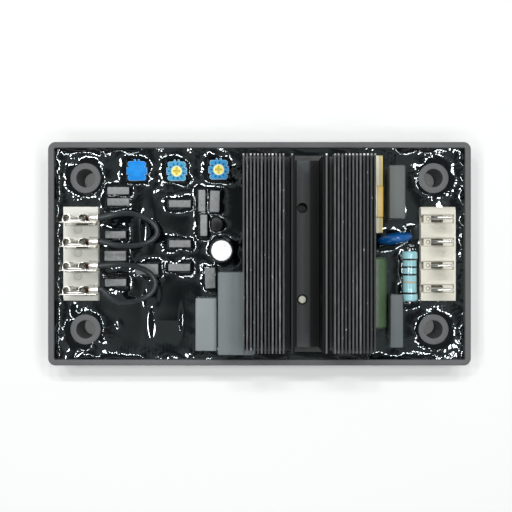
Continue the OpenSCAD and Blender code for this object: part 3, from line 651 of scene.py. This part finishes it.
# Painted highlights: each fin's top is painted pale by its own amount, more in some stretches, with
# painted glints as bright specks
fin_step, first_fin, fin_slots = 1.11, 22.317, 60
half_span = fin_slots / 2 * fin_step
fin_row = place_mask(tree, "X", first_fin - half_span, first_fin + half_span)
fin_number = worked(tree, "MULTIPLY", fin_row, fin_slots)
fin_dice = tree.nodes.new("ShaderNodeTexWhiteNoise")
fin_dice.noise_dimensions = "1D"
tree.links.new(worked(tree, "FLOOR", fin_number), fin_dice.inputs["W"])
own = scaled(tree, worked(tree, "POWER", fin_dice.outputs["Value"], 1.6), 0.92, 0.08)
stretches = scaled(tree, stretched_noise(tree, (700, 40, 0)), 1.6, -0.1)
grit = scaled(tree, stretched_noise(tree, (1500, 260, 0)), 2.2, -0.1)
glint_specks = clamped(tree, scaled(tree, stretched_noise(tree, (1000, 500, 0)), 14, -9.4))
# Painted light: the fin sides are painted grey, to lift the shade in the gaps between the fins
painted(anodised, fin_sides, srgb(96, 99, 100))
painted(anodised, fin_tops, srgb(46, 48, 49))
painted(anodised, all_of(tree, fin_tops, own, stretches, grit), srgb(124, 127, 128))
painted(anodised, all_of(tree, fin_tops, glint_specks), srgb(214, 216, 216))
# Painted light: the channel's floor is painted paler along its left side, where the right wall's
# shadow doesn't fall
floor_left, floor_right, floor_top = (11.8, 12.2), (16.9, 15.9), (18.5, 18.2)
strip = all_of(tree, place_mask(tree, "X", *floor_left), place_mask(tree, "X", *floor_right),
               place_mask(tree, "Z", *floor_top))
painted(anodised, strip, srgb(84, 87, 88))
# Painted highlights: the left shoulder and the two lips of the channel are painted paler, the right
# lip most.
# Each has its start along X, width, height and tone.
edge_highlights = [(7.95, 1.55, 20, 56), (9.55, 0.6, 38.6, 34), (20.05, 0.6, 38.6, 92)]
for start, width, top, tone in edge_highlights:
    edge = all_of(tree, place_mask(tree, "X", start, start + 0.05),
                  place_mask(tree, "X", start + width, start + width - 0.05),
                  place_mask(tree, "Z", top, top + 0.3))
    painted(anodised, edge, srgb(tone, tone + 3, tone + 4))
# The sawn edges at the end towards the trimmers are bare metal in places, and painted white there
# as glints
sawn_end, sawn_edge = (29.9, 30.1), (38.3, 38.6)
bare = clamped(tree, scaled(tree, stretched_noise(tree, (420, 0, 0)), 5, -2.1))
sawn = all_of(tree, place_mask(tree, "Y", *sawn_end), place_mask(tree, "Z", *sawn_edge), bare)
painted(anodised, sawn, srgb(255, 255, 255))
dress(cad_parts["heat_sink"], anodised)


# Terminal blocks and blades
# Cream nylon housings with a cell for each blade. The blades are tin-plated brass, stamped
# with a narrowed tip, and pressed up through the housing.
nylon = plain_finish("cream_nylon", srgb(232, 229, 216), srgb(216, 212, 196), 0.5,
                     fine=2600, broad=220, bump=0.15)
# The left block is the same nylon as the right one, in a copy painted lighter and cooler as painted
# light
nylon_left_painted_light = plain_finish("nylon_left_painted_light", srgb(240, 240, 232), srgb(226, 226, 217), 0.5,
                          fine=2600, broad=220, bump=0.15)
tinned = plain_finish("tinned_blade", srgb(236, 235, 230), srgb(206, 204, 197), 0.34,
                      fine=1800, broad=500, bump=0.15, metallic=0.7)
blade_pitch = 7.62
# A block's cells: places outwards from the middle of the tray, and distances from a blade's row
cell_span, cell_side = (53.2, 63.8), (1.28, 1.42)
cell_end, cell_end_side = (63.62, 63.76), 1.4
dimple_out, dimple_rim = 55.5, (0.5, 0.74)
mouth_span, slot_span, pit_side, pit_depth = (52.9, 54.1), (56.3, 60.5), 1.15, (16.5, 16.2)
# Round marks that the mould's ejector pins leave between the cells
pin_mark_out, pin_mark_shift, pin_mark_radius, pin_mark_rim = 59.6, 1.2, 1.3, (1.15, 1.4)
pin_mark_rows = (-11, 11)


def beside_rows(tree, row, nudge=0):
    """How far a place lies along Y from the nearest of evenly spaced rows, one of them given."""
    share = scaled(tree, along_axis(tree, "Y"), 1 / blade_pitch, 0.5 - row / blade_pitch)
    return scaled(tree, worked(tree, "FRACT", share), blade_pitch, nudge - blade_pitch / 2)


def cell_shading(material, side, shift, pin_mark):
    """Paints shade on the edges and in the pits of a block's cells, and paints its pin marks. The
    rows are moved by a shift along Y.
    """
    tree = material.node_tree
    out = worked(tree, "MULTIPLY", along_axis(tree, "X"), side)
    away = worked(tree, "ABSOLUTE", beside_rows(tree, shift + blade_pitch / 2))
    # Painted shade along the steps and ends of the cells, round each dimple and down in the pits
    step = all_of(tree, between(tree, away, *cell_side), between(tree, out, *cell_span))
    end = all_of(tree, between(tree, out, *cell_end), between(tree, away, -1, cell_end_side))
    painted(material, worked(tree, "MAXIMUM", step, end), srgb(160, 157, 142))
    far = distance(tree, worked(tree, "SUBTRACT", out, dimple_out), away)
    painted(material, between(tree, far, *dimple_rim, 0.06), srgb(140, 136, 118))
    pits = worked(tree, "MAXIMUM", between(tree, out, *mouth_span),
                  between(tree, out, *slot_span))
    pits = all_of(tree, pits, place_mask(tree, "Z", *pit_depth), between(tree, away, -1, pit_side))
    painted(material, pits, srgb(156, 152, 137))
    far = distance(tree, worked(tree, "SUBTRACT", out, pin_mark_out),
                   beside_rows(tree, shift + pin_mark_shift))
    inner = between(tree, along_axis(tree, "Y"), *pin_mark_rows, 0.1)
    inner = worked(tree, "MULTIPLY", inner, pin_mark)
    mark = all_of(tree, between(tree, far, -1, pin_mark_radius, 0.12), inner)
    rim = all_of(tree, between(tree, far, *pin_mark_rim, 0.12), inner)
    painted(material, mark, srgb(214, 214, 206))
    painted(material, rim, srgb(176, 176, 166))


cell_shading(nylon_left_painted_light, -1, -0.9, 0.6)
cell_shading(nylon, 1, 0, 0.15)
for side, colour in (("left", nylon_left_painted_light), ("right", nylon)):
    softened("terminal_block_" + side, 0.2 * MM, colour)
    for k in range(1, 5):
        softened(f"tab_{side}_{k}", 0.12 * MM, tinned, segments=2)


# Push-on receptacles
# Tin-plated brass sheet folded to a flat back with two rolled edges, pushed down on a blade.
# A crimp barrel at one side holds the jumper wire, and bare copper strands show behind it.
tin_sheet = plain_finish("tin_sheet", srgb(246, 245, 240), srgb(216, 213, 203), 0.3,
                         fine=1500, broad=600, bump=0.2, metallic=0.7)
# Painted shade: the insides of the rolled edges, and the neck beside the crimp, are painted dark
# brown
roll_middles, roll_radius, roll_nudge = (-61.0, -55.9), 1.03, 0.09
neck_span, neck_sides = (-55.6, -54.0), (-0.9, 2.0)
tree = tin_sheet.node_tree
along = along_axis(tree, "X")
beside = beside_rows(tree, crimp_rows[0], roll_nudge)
for roll in roll_middles:
    far = distance(tree, worked(tree, "SUBTRACT", along, roll), beside)
    painted(tin_sheet, between(tree, far, -1, roll_radius, 0.02), srgb(108, 99, 84))
neck = all_of(tree, between(tree, along, *neck_span), between(tree, beside, *neck_sides))
painted(tin_sheet, neck, srgb(50, 43, 38))
copper = plain_finish("bare_copper", srgb(206, 138, 92), srgb(160, 96, 58), 0.35,
                      fine=2500, broad=1200, bump=0.2, metallic=0.8)
strand_width = 0.42 * MM
strand_spread, strand_twist, strand_uneven = 0.45, 11, 0.12
strand_middle, strand_end = -53.4, -54.35
for k, row in enumerate(crimp_rows, 1):
    softened(f"receptacle_{k}", 0.06 * MM, tin_sheet, segments=2)
    lines = []
    for s in range(7):
        # Six strands stand round one, with uneven ends
        turn = math.radians(60 * s + strand_twist * k)
        out = strand_spread if s < 6 else 0
        y, z = row + out * math.cos(turn), crimp_level + out * math.sin(turn)
        tip = strand_end + strand_uneven * math.cos(2.3 * s + k)
        reach = (crimp_mouth - held_in_crimp, strand_middle, tip)
        lines.append([np.array((x, y, z)) * MM for x in reach])
    strands = round_run(f"wire_strands_{k}", lines, strand_width, copper)


# Trimmers
# Three small blue setting resistors. Two show a yellow plastic rotor with a cross slot that a
# screwdriver turns. The rotor of the first is sealed over with blue lacquer.
trimmer_places = [(-40.3, 27.2), (-27.2, 27.1), (-13.4, 27.6)]
trimmer_tones = [(srgb(0, 148, 238), srgb(0, 128, 222)), (srgb(80, 171, 213), srgb(56, 151, 197)),
                 (srgb(54, 154, 208), srgb(32, 132, 190))]
trimmer_top = (17.2, 17.4)
dial_ticks, dial_ring, tick_share = 11, (1.95, 2.75), (0.36, 0.64)
# How far a rounded edge faces up, from 0 for level to 1 for straight up
highlight_facing = (0.1, 0.92)
for k, (middle, (light, dark)) in enumerate(zip(trimmer_places, trimmer_tones), 1):
    blue = plain_finish(f"trimmer_blue_{k}", light, dark, 0.42, fine=2600, broad=400, bump=0.12)
    set_shine(blue, 0.15)
    tree = blue.node_tree
    far, turn = round_place(tree, middle)
    ticks = worked(tree, "FRACT", worked(tree, "MULTIPLY", turn, dial_ticks))
    dial = all_of(tree, between(tree, far, *dial_ring, 0.08),
                  between(tree, ticks, *tick_share, 0.08), place_mask(tree, "Z", *trimmer_top))
    painted(blue, dial, srgb(6, 44, 92))
    # Painted highlight: the rounded edges are painted pale
    facing = tree.nodes.new("ShaderNodeNewGeometry")
    upward = tree.nodes.new("ShaderNodeSeparateXYZ")
    tree.links.new(facing.outputs["Normal"], upward.inputs["Vector"])
    painted(blue, between(tree, upward.outputs["Z"], *highlight_facing, 0.03), srgb(196, 232, 255))
    softened(f"trimmer_body_{k}", 0.2 * MM, blue)
lacquer_blue = plain_finish("lacquer_blue", srgb(40, 166, 250), srgb(0, 112, 208), 0.42,
                            fine=700, broad=420, bump=0.3, depth=0.1)
set_shine(lacquer_blue, 0.12)
softened("trimmer_seal", 0.1 * MM, lacquer_blue)
# A rotor is pale round its rim and deeper yellow in its middle, with painted shade down in its slot
rotor_rim, rotor_middle, slot_shade_depth = (1.42, 1.9), 0.6, (0.15, 0.25)
for k, middle in enumerate(trimmer_places, 1):
    yellow = plain_finish(f"rotor_yellow_{k}", srgb(246, 240, 116), srgb(230, 220, 84), 0.4,
                          fine=3000, broad=900, bump=0.15)
    tree = yellow.node_tree
    far, _ = round_place(tree, middle)
    painted(yellow, between(tree, far, *rotor_rim, 0.08), srgb(252, 248, 200))
    painted(yellow, between(tree, far, -1, rotor_middle, 0.3), srgb(230, 208, 72))
    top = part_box(f"trimmer_rotor_{k}")[1].z / MM
    painted(yellow, place_mask(tree, "Z", *(top - down for down in slot_shade_depth)), srgb(208, 184, 62))
    if k == 1:
        dress(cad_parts["trimmer_rotor_1"], yellow)
    else:
        softened(f"trimmer_rotor_{k}", 0.08 * MM, yellow, segments=2,
                 body=f"rotor_{k}")


# Box capacitors
# Film capacitors potted in moulded grey boxes with slightly rounded edges: small ones in
# rows on the left, larger ones beside the heat sink.
small_tones = [134, 131, 126, 139, 128, 134, 132, 123, 151, 128, 130, 121, 124]
# How far the light and the dark blotches of a small box lie from its tone
lighter, darker = (22, 26, 26), (-32, -29, -29)
for k, tone in enumerate(small_tones, 1):
    light, dark = (srgb(*(tone + shift for shift in shifts)) for shifts in (lighter, darker))
    grey = plain_finish(f"small_box_grey_{k}", light, dark, 0.5, fine=3500, broad=900, bump=0.3)
    softened(f"small_capacitor_{k}", 0.22 * MM, grey)
large_grey = {1: (136, 144, 145), 2: (112, 121, 123), 3: (90, 97, 96), 4: (94, 102, 104)}
for k, (r, g, b) in large_grey.items():
    grey = plain_finish(f"large_box_grey_{k}", srgb(r, g, b), srgb(r - 14, g - 14, b - 14), 0.48,
                        fine=3000, broad=180, bump=0.25)
    softened(f"film_capacitor_{k}", 0.35 * MM, grey)


# Electrolytic capacitor
# A drawn aluminium can in a dark shrunk film sleeve that folds over its shoulder. The bare
# top is scored with a cross so that it can vent.
can_metal = plain_finish("can_metal", srgb(252, 252, 252), srgb(240, 241, 242), 0.35,
                         fine=2400, broad=500, bump=0.1, metallic=0.25)
sleeve_film = plain_finish("sleeve_film", srgb(46, 47, 50), srgb(30, 31, 34), 0.3, fine=900)
softened("electrolytic_can", 0.08 * MM, can_metal, segments=2)
softened("electrolytic_sleeve", 0.2 * MM, sleeve_film)


# Round power parts
# A green enamelled wire-wound resistor half under the heat sink, a turquoise lacquered film
# resistor with colour bands, and a blue epoxy-dipped disc varistor on edge.
def lead_ends(piece, low_y, high_y, material):
    """Gives the faces past the two ends of a part along Y a lead's own material."""
    piece.data.materials.append(material)
    for face in piece.data.polygons:
        if face.center.y < low_y * MM or face.center.y > high_y * MM:
            face.material_index = 1


enamel = plain_finish("green_enamel", srgb(98, 124, 92), srgb(78, 102, 74), 0.4,
                      fine=900, broad=260, bump=0.5, depth=0.15)
tree = enamel.node_tree
# The turns of wire show as low ridges under the enamel
wound_length, turn_pitch = 25, 0.85
turns = worked(tree, "MULTIPLY", place_mask(tree, "Y", -wound_length, 0),
               wound_length * 2 * math.pi / turn_pitch)
uneven = stretched_noise(tree, (400, 400, 400))
ridges = scaled(tree, worked(tree, "SINE", turns), 0.25, uneven)
tree.links.new(ridges, tree.nodes["Bump"].inputs["Height"])
softened("wirewound_resistor", 0.3 * MM, enamel)

lacquer = plain_finish("turquoise_lacquer", srgb(164, 214, 220), srgb(142, 198, 208), 0.16,
                       fine=900, broad=300, bump=0.2, coat=1.0)
tree = lacquer.node_tree
tree.nodes["Principled BSDF"].inputs["Coat Roughness"].default_value = 0.08
# Bands: middle along Y, half width and colour
bands = [(-1.9, 0.28, srgb(50, 34, 34)), (-4.4, 0.3, srgb(20, 26, 30)),
         (-6.85, 0.3, srgb(20, 28, 30)), (-9.35, 0.3, srgb(182, 168, 148)),
         (-12.95, 0.32, srgb(36, 28, 34))]
for middle, half, colour in bands:
    stripe = between(tree, along_axis(tree, "Y"), middle - half, middle + half, 0.06)
    painted(lacquer, stripe, colour)
film_middle, film_half = -7.4, 8.27
film_resistor = softened("film_resistor", 0.15 * MM, lacquer)
lead_ends(film_resistor, film_middle - film_half, film_middle + film_half, tinned)

epoxy = plain_finish("blue_epoxy", srgb(8, 98, 172), srgb(0, 72, 138), 0.16, fine=500,
                     broad=300, bump=0.4, depth=0.2, coat=0.3)
softened("varistor", 0.1 * MM, epoxy)


# Pulse transformer
# A cream moulded bobbin with its winding under layers of yellow tape, mostly hidden beneath
# the heat sink's right wing.
cream = plain_finish("bobbin_cream", srgb(232, 228, 204), srgb(214, 208, 180), 0.5, fine=2600)
tape = plain_finish("winding_tape", srgb(232, 204, 122), srgb(216, 182, 96), 0.3, fine=900)
# The bobbin is stained beside the heat sink and lit along its outer edge
stain_span, bobbin_edge = (38.9, 39.3), (40.0, 40.1)
tree = cream.node_tree
stain = all_of(tree, stretched_noise(tree, (500, 220, 500)), place_mask(tree, "X", *stain_span))
painted(cream, stain, srgb(150, 140, 92))
painted(cream, place_mask(tree, "X", *bobbin_edge), srgb(250, 222, 120))
# The tape, from the outside in: a painted highlight along its outer edge, the plain tape, a brown
# lap and a painted highlight along its inner side
tape_highlight_edge, brown_lap, inner_highlight = (40.1, 40.2), (38.5, 38.45), (38.38, 38.33)
tree = tape.node_tree
painted(tape, place_mask(tree, "X", *brown_lap), srgb(96, 72, 44))
painted(tape, place_mask(tree, "X", *inner_highlight), srgb(252, 248, 226))
painted(tape, place_mask(tree, "X", *tape_highlight_edge), srgb(252, 206, 84))
softened("transformer_bobbin", 0.3 * MM, cream)
softened("transformer_winding", 0.5 * MM, tape)


# Small transistor
# A half-round black moulded package standing on its leads.
softened("small_transistor", 0.25 * MM, black_epoxy)
